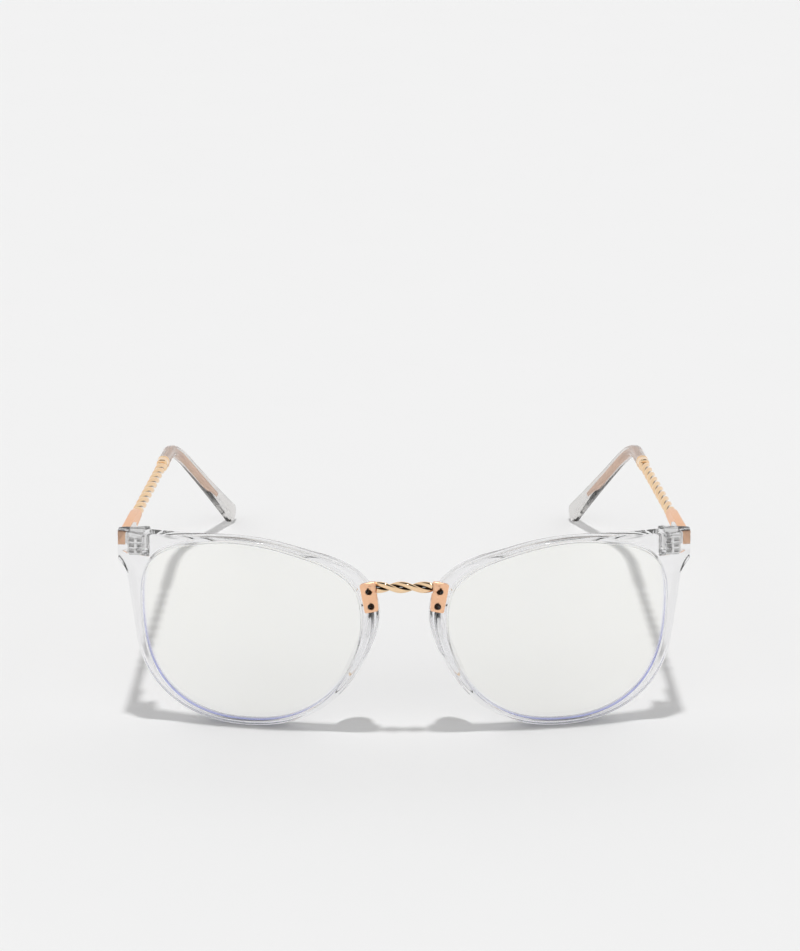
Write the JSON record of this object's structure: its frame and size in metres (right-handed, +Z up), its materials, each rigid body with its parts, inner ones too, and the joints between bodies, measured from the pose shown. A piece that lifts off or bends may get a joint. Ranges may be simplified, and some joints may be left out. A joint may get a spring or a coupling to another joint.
{
  "type": "eyeglasses",
  "caption": "Spectacles with clear plastic rims, a twisted metal wire bridge, hinged twisted wire temples and bent clear plastic ear tips.",
  "frame": {"origin": "middle of the footprint, on the table that the rims and tips stand on", "axes": "+X to the wearer's left, -Y the way the wearer looks, +Y towards the ears, +Z up"},
  "size_m": [0.142, 0.1472, 0.0504],
  "materials": {
    "clear_plastic": "polished clear plastic",
    "lens_plastic": "clear, with a faint blue reflection",
    "rose_gold_polished": "polished rose gold plate",
    "rose_gold_satin": "satin rose gold plate",
    "hinge_metal": "plain nickel silver",
    "dark_screw": "dark oxide"
  },
  "bodies": {
    "front": {"rim_left": "clear_plastic", "rim_right": "clear_plastic", "lens_left": "lens_plastic", "lens_right": "lens_plastic", "nose_pad_left": "clear_plastic", "nose_pad_right": "clear_plastic", "bridge_plate_left": "rose_gold_satin", "bridge_plate_right": "rose_gold_satin", "bridge_screws_left": "dark_screw", "bridge_screws_right": "dark_screw", "front_hinge_left": "hinge_metal", "front_hinge_right": "hinge_metal", "hinge_screw_left": "hinge_metal", "hinge_screw_right": "hinge_metal", "bridge_wire_a": "rose_gold_polished", "bridge_wire_b": "rose_gold_polished"},
    "temple_left": {"temple_hinge_left": "hinge_metal", "hinge_rivets_left": "hinge_metal", "temple_bar_left": "rose_gold_satin", "temple_wire_a_left": "rose_gold_polished", "temple_wire_b_left": "rose_gold_polished", "temple_collar_left": "rose_gold_polished", "temple_core_left": "rose_gold_satin", "temple_tip_left": "clear_plastic"},
    "temple_right": {"temple_hinge_right": "hinge_metal", "hinge_rivets_right": "hinge_metal", "temple_bar_right": "rose_gold_satin", "temple_wire_a_right": "rose_gold_polished", "temple_wire_b_right": "rose_gold_polished", "temple_collar_right": "rose_gold_polished", "temple_core_right": "rose_gold_satin", "temple_tip_right": "clear_plastic"}
  },
  "joints": [
    {"name": "hinge_left", "type": "hinge", "parent": "front", "child": "temple_left", "pos_m": [0.0645, -0.05646, 0.04559], "axis": [0, 0, 1], "range_deg": [0, 82]},
    {"name": "hinge_right", "type": "hinge", "parent": "front", "child": "temple_right", "pos_m": [-0.0645, -0.05646, 0.04559], "axis": [0, 0, -1], "range_deg": [0, 86]}
  ]
}
